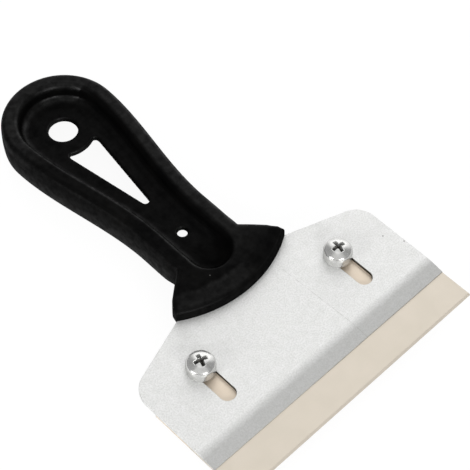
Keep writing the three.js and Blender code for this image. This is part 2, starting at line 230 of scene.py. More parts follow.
SHADED_Y = HANGING_HOLE_Y + WINDOW_HALF_WIDTH
MOTTLE = (0.6, 1.4)
MOTTLE_SIZE = 2.2
MOTTLE_DETAIL = 5
# Painted shade in the coat, low near the collar and in a crescent at the pocket's front right
SUNK_Y = (NECK_CORNER_Y + 6, NECK_CORNER_Y - 2)
SUNK_HEIGHTS = (4, 2.5)
SUNK_SHADE_SHARE = 0.3
FRONT_INNER = (2.5, 4)
FRONT_OUTER = (8.4, 7.4)
FRONT_RIGHT = (0.7, 3.5)
FRONT_SHADE_SHARE = 0.12
# Size, detail and depth of each layer of bumps
PLASTIC_BUMPS = ((5, 1, 0.03), (0.22, 2, 0.006))

# Zinc plated holder. Its lip bevel and the walls of its slots are darkened with painted shade.
CLOUD_SIZE = 2.5
CLOUD_DETAIL = 5
SHEET_TONES = ((0.83, 0.835, 0.82), (0.88, 0.88, 0.875))
GRAIN_SIZE = 0.5
GRAIN_DETAIL = 2
GRAIN_TONE = (0.62, 0.62, 0.605)
GRAIN_SHARE = 0.55
STREAK_SIZE = 0.35
STREAK_STRETCH = (1, 0.03, 1)
STREAK_SPAN = (0.68, 0.78)
STREAK_TURNS = (0.0, 1.23, -0.63)
STREAK_TONE = (0.5, 0.5, 0.49)
STREAK_SHARE = 0.35
SCRIBE_X = 14
SCRIBE_LEAN = -0.04
SCRIBE_EDGES = (0.16, 0.05)
SCRIBE_SIZE = 1.5
SCRIBE_SPAN = (0.4, 0.6)
SCRIBE_SHARES = (0.1, 0.5)
SCRIBE_TONE = (0.4, 0.39, 0.37)
PLATE_SPECKS = ((49.4, -10.8, 0), (46, -4.7, 0))
PLATE_SPECK_RADIUS = 0.4
PLATE_SPECK_SHARE = 0.6
PLATE_SPECK_TONE = (0.2, 0.19, 0.18)
# Painted shade on the lip's bevel, which turns away from the light
BEVEL_SHADE_SHARE = 0.52
BEVEL_SHADE_TONE = (0.3, 0.3, 0.29)
# Painted shade on the slot walls
SLOT_WALL_SHADE = (0.03, 0.022, 0.015)
PLATE_METALLIC = 0.5
PLATE_GLOSS_SIZE = 3
PLATE_ROUGHNESS = (0.5, 0.6)
ROLLED_SIZE = 0.3
ROLLED_STRETCH = (0.05, 1, 1)
# Depth of the bumps from clouds, rolling and grain
PLATE_BUMPS = (0.02, 0.004, 0.003)

# Cream blade. Painted light makes the part under the plate lighter and warmer against the shade there, and it
# shows through the slots.
CREAM_CLOUD_SIZE = 8
CREAM_TONES = ((0.65, 0.588, 0.495), (0.68, 0.613, 0.52))
COVERED_Y = (-17, -15)
# Painted light on the blade under the plate
COVERED_PAINTED_LIGHT = (0.83, 0.71, 0.57)
BRUSHED_SIZE = 0.3
BRUSHED_STRETCH = (0.03, 1, 1)
BRUSHED_BUMP = 0.003
BRUSHED_TONE = (0.6, 0.56, 0.49)
BRUSHED_SHARE = 0.12
CREAM_METALLIC = 0.3
CREAM_GLOSS_SIZE = 2
CREAM_ROUGHNESS = (0.3, 0.4)

# Bright zinc. On screw heads the recess and the flanks that turn away get painted shade.
ZINC_CLOUD_SIZE = 1.2
ZINC_TONES = ((0.66, 0.66, 0.64), (0.74, 0.74, 0.73))
# Painted shade deep in the screw recess: depths, share and tone
RECESS_DEPTHS = (0.7, 2.2)
RECESS_SHADE_SHARE = 0.9
RECESS_SHADE_TONE = (0.03, 0.028, 0.016)
# Painted shade on head flanks that turn away
FLANK_FACING = (0.55, 0.9)
FLANK_LEVELS = (0.4, 0.6)
FLANK_SHADE_SHARE = 0.6
FLANK_SHADE_TONE = (0.2, 0.2, 0.19)
ZINC_METALLIC = 0.75
ZINC_GLOSS_SIZE = 0.5
ZINC_ROUGHNESS = (0.15, 0.22)
ZINC_BUMP_SIZE = 0.35
ZINC_BUMP = 0.0015

# Grids that the moulded and forged shapes are drawn on, and how their points settle on the surface
HANDLE_CELL = 0.36
FASTENER_CELL = 0.1
NUT_CELL = FASTENER_CELL * 1.2
SETTLING_STEPS = 3
LEAST_STEEPNESS = 1e-3
LONGEST_STEP = 0.3

# Straight steps in each curve
COLLAR_STEPS = 64
SIDE_STEPS = 40
END_STEPS = 96
TIP_STEPS = 16
CORNER_STEPS = 8
ARC_STEPS = 24
BLADE_HOLE_STEPS = 36


# Distance fields

def both(a, b, radius):
    """Where both fields are negative, with the edge between them rounded."""
    corner = np.hypot(np.maximum(a + radius, 0), np.maximum(b + radius, 0))
    return np.minimum(np.maximum(a, b), -radius) + corner


def either(a, b, radius):
    """Where either field is negative, with a fillet between them."""
    return -both(-a, -b, radius)


def arc(x, y, radius, start, end, steps):
    angles = np.linspace(start, end, steps + 1)
    return [(x + radius * math.cos(a), y + radius * math.sin(a)) for a in angles]


def mirrored(points):
    return [(-x, y) for x, y in reversed(points)]


def outline_distance(x, y, loop):
    """Distance to a closed outline, negative inside it."""
    nearest = np.full(x.shape, np.inf)
    inside = np.zeros(x.shape, bool)
    for (ax, ay), (bx, by) in zip(loop, loop[1:] + loop[:1]):
        along, rise = bx - ax, by - ay
        share = np.clip(((x - ax) * along + (y - ay) * rise) / (along ** 2 + rise ** 2), 0, 1)
        nearest = np.minimum(nearest, np.hypot(x - ax - share * along, y - ay - share * rise))
        if rise != 0:
            spans = (ay > y) != (by > y)
            inside ^= spans & (x < ax + (y - ay) * along / rise)
    return np.where(inside, -nearest, nearest)


def smoothed(share):
    share = np.clip(share, 0, 1)
    return share * share * (3 - 2 * share)


def soft_ramp(value, blend):
    """The value where positive and zero elsewhere, with the bend between them rounded."""
    return np.maximum(value, 0) + np.maximum(blend - np.abs(value), 0) ** 2 / (4 * blend)


def sampled(grid, places):
    """The grid's value at places given in cells, blended from the corners round each."""
    floor = np.clip(places.astype(int), 0, np.array(grid.shape) - 2)
    share = places - floor
    value = np.zeros(len(places))
    for corner in np.ndindex(2, 2, 2):
        weight = np.prod(np.where(corner, share, 1 - share), axis=1)
        value += weight * grid[tuple((floor + corner).T)]
    return value


def surface(field, low, cell):
    """Vertices and four-sided faces of the surface on which a field is zero."""
    cells = np.array(field.shape) - 1
    corners = {c: field[tuple(slice(o, o + n) for o, n in zip(c, cells))] for c in np.ndindex(2, 2, 2)}
    count_inside = sum((values < 0).astype(int) for values in corners.values())
    active = (count_inside > 0) & (count_inside < 8)
    number = np.full(cells, -1)
    number[active] = np.arange(active.sum())
    total = np.zeros((active.sum(), 3))
    crossings = np.zeros((active.sum(), 1))
    for start in corners:
        for axis in range(3):
            if start[axis]:
                continue
            end = tuple(1 if i == axis else o for i, o in enumerate(start))
            first, second = corners[start][active], corners[end][active]
            crosses = (first < 0) != (second < 0)
            share = first[crosses] / (first[crosses] - second[crosses])
            total[crosses] += np.array(start) + share[:, None] * np.eye(3)[axis]
            crossings[crosses] += 1
    places = np.argwhere(active) + total / crossings
    slopes = np.gradient(field)
    for _ in range(SETTLING_STEPS):
        slope = np.stack([sampled(g, places) for g in slopes], axis=1)
        steepness = np.maximum((slope ** 2).sum(1), LEAST_STEEPNESS * cell ** 2)
        step = sampled(field, places)[:, None] * slope / steepness[:, None]
        places -= np.clip(step, -LONGEST_STEP, LONGEST_STEP)
    faces = []
    for axis in range(3):
        u, v = (axis + 1) % 3, (axis + 2) % 3
        near = [slice(1, n) for n in cells]
        near[axis] = slice(0, cells[axis])
        far = list(near)
        far[axis] = slice(1, cells[axis] + 1)
        start, end = field[tuple(near)] < 0, field[tuple(far)] < 0
        for crossing, flip in ((start & ~end, False), (~start & end, True)):
            at = np.argwhere(crossing) + [0 if i == axis else 1 for i in range(3)]
            ring = []
            for du, dv in ((1, 1), (0, 1), (0, 0), (1, 0)):
                shifted = at.copy()
                shifted[:, u] -= du
                shifted[:, v] -= dv
                ring.append(number[tuple(shifted.T)])
            faces.append(np.stack(ring[::-1] if flip else ring, axis=1))
    return low + cell * places, np.concatenate(faces)


def whole(quarter, axes):
    """A field known on one side of some planes, completed on the other side."""
    for axis in axes:
        other = np.flip(quarter, axis)
        keep = [slice(None)] * 3
        keep[axis] = slice(0, quarter.shape[axis] - 1)
        quarter = np.concatenate([other[tuple(keep)], quarter], axis)
    return quarter


# Meshes and pieces

def mesh_from(name, vertices, faces, smooth=True):
    mesh = bpy.data.meshes.new(name)
    points = np.asarray(vertices, float) * MILLIMETRE
    mesh.from_pydata(points.tolist(), [], [list(map(int, f)) for f in faces])
    mesh.polygons.foreach_set("use_smooth", [smooth] * len(mesh.polygons))
    mesh.update()
    return mesh


def piece(name, mesh, body, material, at=(0, 0, 0), turn=0, replaces=None):
    """A new object at a place measured from the screw line, riding on a body of the frame."""
    shown = bpy.data.objects.new(name, mesh)
    bpy.context.scene.collection.objects.link(shown)
    place = Vector((ORIGIN + np.array(at)) * MILLIMETRE)
    shown.matrix_world = Matrix.Translation(place) @ Matrix.Rotation(math.radians(turn), 4, "Z")
    shown.data.materials.clear()
    shown.data.materials.append(material)
    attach(shown, body)
    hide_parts(replaces or name)
    return shown


def drawn_in(loop, distance):
    """A counter-clockwise loop with every side moved inwards."""
    points = np.array(loop, float)
    arriving = points - np.roll(points, 1, axis=0)
    leaving = np.roll(points, -1, axis=0) - points
    arriving /= np.linalg.norm(arriving, axis=1)[:, None]
    leaving /= np.linalg.norm(leaving, axis=1)[:, None]
    inward = np.stack([-arriving[:, 1] - leaving[:, 1], arriving[:, 0] + leaving[:, 0]], axis=1)
    scale = distance / (1 + (arriving * leaving).sum(1))
    return points + inward * scale[:, None]


def sheet(outer, holes, thickness, edge_round, steps=3):
    """A flat sheet with its top at zero, its edges and the edges of its holes rounded."""
    angles = np.linspace(0, math.pi / 2, steps + 1)
    top = [(-edge_round * (1 - math.sin(a)), edge_round * (1 - math.cos(a))) for a in angles]
    levels = [(-thickness - z, inset) for z, inset in reversed(top)] + top
    vertices, faces = [], []
    rims = {0: [], len(levels) - 1: []}
    for loop, hole in [(outer, False)] + [(h, True) for h in holes]:
        base, count = len(vertices), len(loop)
        for level, (z, inset) in enumerate(levels):
            ring = drawn_in(loop, -inset if hole else inset)
            vertices += [(x, y, z) for x, y in ring]
            if level in rims:
                rims[level].append([base + level * count + i for i in range(count)])
        for level in range(len(levels) - 1):
            for i in range(count):
                low, low_next = base + level * count + i, base + level * count + (i + 1) % count
                face = [low, low_next, low_next + count, low + count]
                faces.append(face[::-1] if hole else face)
    caps = []
    for level, rings in rims.items():
        order = [index for ring in rings for index in ring]
        outlines = [[Vector(vertices[index]) for index in ring] for ring in rings]
        for triangle in tessellate_polygon(outlines):
            corners = [order[i] for i in triangle]
            a, b, c = (Vector(vertices[i]) for i in corners)
            upward = (b - a).cross(c - a).z > 0
            caps.append(corners if upward == (level > 0) else corners[::-1])
    return vertices, faces, caps


def bent_sheet(name, outer, holes, thickness, edge_round, cuts, bend):
    """A sheet cut along lines of constant y, then reshaped there by bend(y, depth share)."""
    vertices, faces, caps = sheet(outer, holes, thickness, edge_round)
    body = bmesh.new()
    corners = [body.verts.new(v) for v in vertices]
    for face in faces:
        body.faces.new([corners[i] for i in face]).smooth = True
    for face in caps:
        body.faces.new([corners[i] for i in face]).smooth = False
    for y in cuts:
        everything = body.verts[:] + body.edges[:] + body.faces[:]
        bmesh.ops.bisect_plane(body, geom=everything, plane_co=(0, y, 0), plane_no=(0, 1, 0), dist=1e-5)
    for vertex in body.verts:
        vertex.co.z = bend(vertex.co.y, vertex.co.z)
    for face in body.faces:
        if face.calc_center_median().y < max(cuts):
            face.smooth = True
    bmesh.ops.scale(body, vec=(MILLIMETRE,) * 3, verts=body.verts)
    mesh = bpy.data.meshes.new(name)
    body.to_mesh(mesh)
    body.free()
    return mesh


# Materials

def material_tree(name):
    material = bpy.data.materials.new(name)
    material.use_nodes = True
    tree = material.node_tree
    return material, tree, tree.nodes["Principled BSDF"]


def node(tree, kind, inputs=(), **settings):
    """A shader node with its settings and with values or links on its inputs."""
    made = tree.nodes.new(kind)
    for key, value in settings.items():
        setattr(made, key, value)
    for key, value in dict(inputs).items():
        if isinstance(value, bpy.types.NodeSocket):
            tree.links.new(value, made.inputs[key])
        else:
            made.inputs[key].default_value = value
    return made


def object_place(tree, stretch=(1, 1, 1), turn=0):
    """Object coordinates in millimetres, stretched and turned about the Z axis."""
    place = node(tree, "ShaderNodeTexCoord")
    scale = [s / MILLIMETRE for s in stretch]
    turned = node(tree, "ShaderNodeMapping", {"Vector": place.outputs["Object"], "Rotation": (0, 0, turn)})
    return node(tree, "ShaderNodeMapping", {"Vector": turned.outputs[0], "Scale": scale}).outputs[0]


def ranged(tree, value, low, high, start=0.0, end=1.0, **settings):
    """A value's place between low and high, mapped to lie between start and end."""
    inputs = {"Value": value, "From Min": low, "From Max": high, "To Min": start, "To Max": end}
    return node(tree, "ShaderNodeMapRange", inputs, **settings).outputs[0]


def noise(tree, place, size, detail=NOISE_DETAIL, span=NOISE_SPAN, out=(0, 1)):
    """Noise with features about size millimetres across, spread over the given range."""
    made = node(tree, "ShaderNodeTexNoise", {
        "Vector": place, "Scale": 1 / size, "Detail": detail, "Roughness": NOISE_ROUGHNESS})
    return ranged(tree, made.outputs["Fac"], *span, *out)


def blended(tree, share, first, second):
    mixed = node(tree, "ShaderNodeMix", {"Factor": share}, data_type="RGBA")
    for socket, colour in ((mixed.inputs[6], first), (mixed.inputs[7], second)):
        if isinstance(colour, bpy.types.NodeSocket):
            tree.links.new(colour, socket)
        else:
            socket.default_value = (*colour, 1)
    return mixed.outputs[2]


def arithmetic(tree, operation, first, second=0.0, third=0.0):
    return node(tree, "ShaderNodeMath", {0: first, 1: second, 2: third}, operation=operation).outputs[0]


def bumped(tree, shader, layers):
    """Bump layers of (height socket, depth in millimetres) stacked on a shader's normal."""
    normal = None
    for height, depth in layers:
        inputs = {"Height": height, "Distance": depth * MILLIMETRE, "Strength": 1}
        if normal is not None:
            inputs["Normal"] = normal
        normal = node(tree, "ShaderNodeBump", inputs).outputs[0]
    tree.links.new(normal, shader.inputs["Normal"])
    tree.links.new(normal, shader.inputs["Coat Normal"])


def product(tree, first, *others):
    """Several shares multiplied together."""
    for other in others:
        first = arithmetic(tree, "MULTIPLY", first, other)
    return first


def mixed_number(tree, share, first, second):
    """A number that goes from first to second as the share goes from zero to one."""
    return node(tree, "ShaderNodeMix", {0: share, 2: first, 3: second}).outputs[0]


def off(tree, value, centre):
    """How far a value is from a centre, on either side."""
    return arithmetic(tree, "ABSOLUTE", arithmetic(tree, "SUBTRACT", value, centre))


def along(tree, vector):
    """A vector's three numbers."""
    return node(tree, "ShaderNodeSeparateXYZ", {"Vector": vector}).outputs


def flattened(tree, place):
    """A place with its height taken away."""
    return node(tree, "ShaderNodeVectorMath", {0: place, 1: (1, 1, 0)}, operation="MULTIPLY").outputs[0]


def compared(tree, operation, first, second):
    """The distance between two places, or the dot product of two directions."""
    return node(tree, "ShaderNodeVectorMath", {0: first, 1: second}, operation=operation).outputs["Value"]


def spot(tree, place, centre, radius):
    """One inside a small round spot, fading to zero at its edge."""
    return ranged(tree, compared(tree, "DISTANCE", place, centre), radius, radius / 2)


def upright(tree, levels=UPRIGHT_LEVELS):
    """One on surfaces that stand upright and zero on flat ones."""
    normal = node(tree, "ShaderNodeNewGeometry").outputs["True Normal"]
    return ranged(tree, arithmetic(tree, "ABSOLUTE", along(tree, normal)["Z"]), *levels, 1.0, 0.0)


def on_edges(tree, normal, at):
    """Share of the painted edge sheen: one on tilted surfaces, less on standing walls and on the upper part
    of the outer left wall.
    """
    level = arithmetic(tree, "ABSOLUTE", along(tree, normal)["Z"])
    walls = ranged(tree, at["Z"], *WALL_HEIGHTS, *WALL_SHARES)
    standing = mixed_number(tree, ranged(tree, level, *STANDING_LEVELS), 1.0, walls)
    outward = ranged(tree, compared(tree, "DOT_PRODUCT", normal, OUTER_SIDE), *OUTER_TURNS)
    outward = product(tree, outward, ranged(tree, at["X"], *OUTER_X))
    # Painted sheen, weaker on the upper part of the outer left wall
    outer_wall_sheen = mixed_number(tree, outward, 1.0, ranged(tree, at["Z"], *OUTER_SHEEN_HEIGHTS, *OUTER_SHEEN_SHARES))
    return product(tree, ranged(tree, level, *TILTED_LEVELS), standing, outer_wall_sheen)


def flat_sheen(tree, place, at):
    """The painted sheen on level surfaces, brighter on the rim's right and far end and the band's left."""
    right_or_far = arithmetic(
        tree, "MAXIMUM", ranged(tree, at["X"], *RIM_X),
        ranged(tree, at["Y"], WINDOW_SHOULDER_Y, HANGING_HOLE_Y))
    on_rim = product(tree, ranged(tree, at["Z"], *RIM_HEIGHTS), right_or_far)
    from_arc = compared(tree, "DISTANCE", flattened(tree, place), (0, COLLAR_CENTRE_Y, 0))
    from_arc = arithmetic(tree, "ADD", from_arc, noise(tree, place, BAND_WAVE_SIZE, out=BAND_WAVE))
    on_collar = arithmetic(tree, "LESS_THAN", at["Y"], NECK_CORNER_Y)
    on_band = product(tree, ranged(tree, from_arc, *BAND_EDGES), on_collar, ranged(tree, at["X"], *BAND_X))
    flat = ranged(tree, on_rim, 0, 1, FLAT_SHEEN, RIM_SHEEN)
    return arithmetic(tree, "MAXIMUM", flat, product(tree, on_band, BAND_SHEEN))


def in_shade(tree, normal, at):
    """One on walls in the pocket that face left, which the photograph shows dark."""
    away = ranged(tree, compared(tree, "DOT_PRODUCT", normal, SHADED_SIDE), *SHADED_TURNS)
    right_of = arithmetic(tree, "GREATER_THAN", at["X"], SHADED_X)
    return product(tree, away, right_of, arithmetic(tree, "LESS_THAN", at["Y"], SHADED_Y))


def mottle_and_painted_shade(tree, place, at):
    """Uneven strength of the coat, with painted shade that weakens it low on the collar and at the pocket's
    front right.
    """
    mottle = noise(tree, place, MOTTLE_SIZE, MOTTLE_DETAIL, out=MOTTLE)
    # Painted shade low on the collar and in the pocket's front
    low_front_shade = product(tree, ranged(tree, at["Y"], *SUNK_Y), ranged(tree, at["Z"], *SUNK_HEIGHTS))
    from_front = compared(tree, "DISTANCE", flattened(tree, place), (0, POCKET_FRONT_Y, 0))
    # Painted shade in a crescent at the pocket's front right
    right_front = arithmetic(tree, "SUBTRACT", at["X"], arithmetic(tree, "SUBTRACT", at["Y"], POCKET_FRONT_Y))
    front_right_shade = product(
        tree, ranged(tree, from_front, *FRONT_INNER), ranged(tree, from_front, *FRONT_OUTER),
        ranged(tree, right_front, *FRONT_RIGHT))
    low_front_shade = ranged(tree, low_front_shade, 0, 1, 1.0, SUNK_SHADE_SHARE)
    front_right_shade = ranged(tree, front_right_shade, 0, 1, 1.0, FRONT_SHADE_SHARE)
    return product(tree, mottle, low_front_shade, front_right_shade)


def black_plastic():
    material, tree, shader = material_tree("black_plastic")
    place = object_place(tree)
    at = along(tree, place)
    normal = node(tree, "ShaderNodeNewGeometry").outputs["Normal"]
    colour = blended(tree, noise(tree, place, PATCH_SIZE), *PLASTIC_TONES)
    speck = spot(tree, place, COLLAR_SPECK, COLLAR_SPECK_RADIUS)
    tree.links.new(blended(tree, speck, colour, COLLAR_SPECK_TONE), shader.inputs["Base Color"])
    scuffed = object_place(tree, SCUFF_STRETCH, SCUFF_TURN)
    scuffs = noise(tree, scuffed, SCUFF_SIZE, span=SCUFF_SPAN)
    gloss = noise(tree, place, GLOSS_SIZE, out=PLASTIC_ROUGHNESS)
    roughness = arithmetic(tree, "MULTIPLY_ADD", scuffs, SCUFF_ROUGHNESS, gloss)
    tree.links.new(roughness, shader.inputs["Roughness"])
    shader.inputs["Specular IOR Level"].default_value = 0.0
    shader.inputs["Coat Roughness"].default_value = SHEEN_ROUGHNESS
    # The coat's strength carries painted sheen and painted shade
    sheen = mixed_number(tree, on_edges(tree, normal, at), flat_sheen(tree, place, at), EDGE_SHEEN)
    sheen = mixed_number(tree, in_shade(tree, normal, at), sheen, SHADED_SHEEN)
    tree.links.new(product(tree, sheen, mottle_and_painted_shade(tree, place, at)), shader.inputs["Coat Weight"])
    bumped(tree, shader, [
        (noise(tree, place, size, detail=detail), depth) for size, detail, depth in PLASTIC_BUMPS])
    return material


def slot_walls(tree, at):
    """One on the upright walls of both slots, where painted shade goes."""
    off_slot = off(tree, arithmetic(tree, "ABSOLUTE", at["X"]), SLOT_X)
    in_slot = arithmetic(tree, "LESS_THAN", off_slot, SLOT_WIDTH / 2 + PLATE_EDGE_ROUND)
    off_middle = off(tree, at["Y"], SLOT_REAR_Y - SLOT_RUN / 2)
    beside = arithmetic(tree, "LESS_THAN", off_middle, (SLOT_RUN + SLOT_WIDTH) / 2 + PLATE_EDGE_ROUND)
    return product(tree, in_slot, beside, upright(tree))


def scribed_line(tree, place, at):
    """How strongly the line scribed along the plate shows."""
    line_x = arithmetic(tree, "MULTIPLY_ADD", at["Y"], SCRIBE_LEAN, SCRIBE_X)
    on_line = ranged(tree, off(tree, at["X"], line_x), *SCRIBE_EDGES)
    before = arithmetic(tree, "LESS_THAN", at["Y"], SHOULDER_Y)
    uneven = noise(tree, place, SCRIBE_SIZE, span=SCRIBE_SPAN, out=SCRIBE_SHARES)
    return product(tree, on_line, before, uneven)


def zinc_sheet():
    material, tree, shader = material_tree("zinc_sheet")
    place = object_place(tree)
    at = along(tree, place)
    clouds = noise(tree, place, CLOUD_SIZE, CLOUD_DETAIL)
    fine = noise(tree, place, GRAIN_SIZE, GRAIN_DETAIL)
    colour = blended(tree, clouds, *SHEET_TONES)
    colour = blended(tree, product(tree, fine, GRAIN_SHARE), colour, GRAIN_TONE)
    for turn in STREAK_TURNS:
        streaks = noise(tree, object_place(tree, STREAK_STRETCH, turn), STREAK_SIZE, span=STREAK_SPAN)
        colour = blended(tree, product(tree, streaks, STREAK_SHARE), colour, STREAK_TONE)
    colour = blended(tree, scribed_line(tree, place, at), colour, SCRIBE_TONE)
    for centre in PLATE_SPECKS:
        speck = product(tree, spot(tree, place, centre, PLATE_SPECK_RADIUS), PLATE_SPECK_SHARE)
        colour = blended(tree, speck, colour, PLATE_SPECK_TONE)
    bend_y = LIP_BEVEL - LIP_REACH
    # Painted shade on the lip's bevel
    bevel_shade = ranged(tree, at["Y"], bend_y - LIP_BLEND, bend_y + LIP_BLEND, BEVEL_SHADE_SHARE, 0.0)
    colour = blended(tree, bevel_shade, colour, BEVEL_SHADE_TONE)
    # Painted shade on the slot walls
    colour = blended(tree, slot_walls(tree, at), colour, SLOT_WALL_SHADE)
    tree.links.new(colour, shader.inputs["Base Color"])
    shader.inputs["Metallic"].default_value = PLATE_METALLIC
    tree.links.new(noise(tree, place, PLATE_GLOSS_SIZE, out=PLATE_ROUGHNESS), shader.inputs["Roughness"])
    rolled = noise(tree, object_place(tree, ROLLED_STRETCH), ROLLED_SIZE)
    bumped(tree, shader, list(zip((clouds, rolled, fine), PLATE_BUMPS)))
    return material


def cream_steel():
    material, tree, shader = material_tree("cream_steel")
    place = object_place(tree)
    colour = blended(tree, noise(tree, place, CREAM_CLOUD_SIZE), *CREAM_TONES)
    # Painted light on the part under the plate
    colour = blended(tree, ranged(tree, along(tree, place)["Y"], *COVERED_Y), colour, COVERED_PAINTED_LIGHT)
    brushed = noise(tree, object_place(tree, BRUSHED_STRETCH), BRUSHED_SIZE)
    colour = blended(tree, product(tree, brushed, BRUSHED_SHARE), colour, BRUSHED_TONE)
    tree.links.new(colour, shader.inputs["Base Color"])
    shader.inputs["Metallic"].default_value = CREAM_METALLIC
    tree.links.new(noise(tree, place, CREAM_GLOSS_SIZE, out=CREAM_ROUGHNESS), shader.inputs["Roughness"])
    bumped(tree, shader, [(brushed, BRUSHED_BUMP)])
    return material


def bright_zinc(name, recessed=False):
    material, tree, shader = material_tree(name)
    place = object_place(tree)
    colour = blended(tree, noise(tree, place, ZINC_CLOUD_SIZE), *ZINC_TONES)
    if recessed:
        # Painted shade deep in the recess
        from_centre = compared(tree, "DISTANCE", place, (0, 0, HEAD_HEIGHT - HEAD_CROWN_RADIUS))
        below = arithmetic(tree, "SUBTRACT", HEAD_CROWN_RADIUS, from_centre)
        from_axis = compared(tree, "DISTANCE", flattened(tree, place), (0, 0, 0))
        inside = arithmetic(tree, "LESS_THAN", from_axis, RECESS_SPAN / 2 + RECESS_ROUND)
        recess_shade = ranged(tree, below, *RECESS_DEPTHS, 0.0, RECESS_SHADE_SHARE)
        colour = blended(tree, product(tree, inside, recess_shade), colour, RECESS_SHADE_TONE)
        # Painted shade on flanks that turn away
        facing = node(tree, "ShaderNodeLayerWeight", {"Blend": 0.5}).outputs["Facing"]
        turned_away = ranged(tree, facing, *FLANK_FACING, 0.0, FLANK_SHADE_SHARE)
        flank = product(tree, turned_away, upright(tree, FLANK_LEVELS))
        colour = blended(tree, flank, colour, FLANK_SHADE_TONE)
    tree.links.new(colour, shader.inputs["Base Color"])
    shader.inputs["Metallic"].default_value = ZINC_METALLIC
    tree.links.new(noise(tree, place, ZINC_GLOSS_SIZE, out=ZINC_ROUGHNESS), shader.inputs["Roughness"])
    bumped(tree, shader, [(noise(tree, place, ZINC_BUMP_SIZE), ZINC_BUMP)])
    return material


# Handle

def band_y(x):
    """Where the collar's flat band ends and the slope up to the neck starts."""
    return COLLAR_CENTRE_Y - np.sqrt(BAND_RADIUS ** 2 - np.minimum(np.abs(x), BAND_REACH) ** 2)


def handle_outline():
    """The handle's plan: the collar's front arc, its ears, the waisted sides and the round end."""
    reach = math.asin(COLLAR_HALF_WIDTH / COLLAR_ARC_RADIUS)
    front = arc(
        0, COLLAR_CENTRE_Y, COLLAR_ARC_RADIUS, -math.pi / 2 - reach, -math.pi / 2 + reach, COLLAR_STEPS)
    cheek = (COLLAR_HALF_WIDTH - CHEEK_INSET, front[-1][1] + CHEEK_SETBACK)
    ear = (cheek[0] - EAR_INSET, cheek[1] + EAR_SETBACK)
    third = (HANGING_HOLE_Y - WAIST_Y) / 3
    controls = [(WAIST_HALF_WIDTH, WAIST_Y), (WAIST_HALF_WIDTH, WAIST_Y + third),
                (HANDLE_END_RADIUS, HANGING_HOLE_Y - third), (HANDLE_END_RADIUS, HANGING_HOLE_Y)]
    side = [cheek, ear, (WAIST_HALF_WIDTH, NECK_CORNER_Y)]
    for t in np.linspace(0, 1, SIDE_STEPS + 1):
        weights = ((1 - t) ** 3, 3 * t * (1 - t) ** 2, 3 * t * t * (1 - t), t ** 3)
        side.append(tuple(sum(w * c[i] for w, c in zip(weights, controls)) for i in (0, 1)))
    end = arc(0, HANGING_HOLE_Y, HANDLE_END_RADIUS, 0, math.pi, END_STEPS)[1:-1]
    return front + side + end + mirrored(side)


def window_outline():
    tip_y = WINDOW_TIP_Y + WINDOW_TIP_RADIUS
    lean = math.atan2(WINDOW_HALF_WIDTH - WINDOW_TIP_RADIUS, WINDOW_SHOULDER_Y - tip_y)
    tip = arc(0, tip_y, WINDOW_TIP_RADIUS, math.pi + lean, 2 * math.pi - lean, TIP_STEPS)
    half = math.asin(WINDOW_ARC_HALF_WIDTH / WINDOW_ARC_RADIUS)
    ring = arc(
        0, HANGING_HOLE_Y, WINDOW_ARC_RADIUS, -math.pi / 2 + half, -math.pi / 2 - half, ARC_STEPS)
    start, bend, end = (WINDOW_HALF_WIDTH, WINDOW_SHOULDER_Y), (WINDOW_HALF_WIDTH, ring[0][1]), ring[0]
    shoulder = []
    for t in np.linspace(0, 1, CORNER_STEPS + 1)[:-1]:
        weights = ((1 - t) ** 2, 2 * t * (1 - t), t * t)
        shoulder.append(tuple(sum(w * p[i] for w, p in zip(weights, (start, bend, end))) for i in (0, 1)))
    return tip + shoulder + ring + mirrored(shoulder)


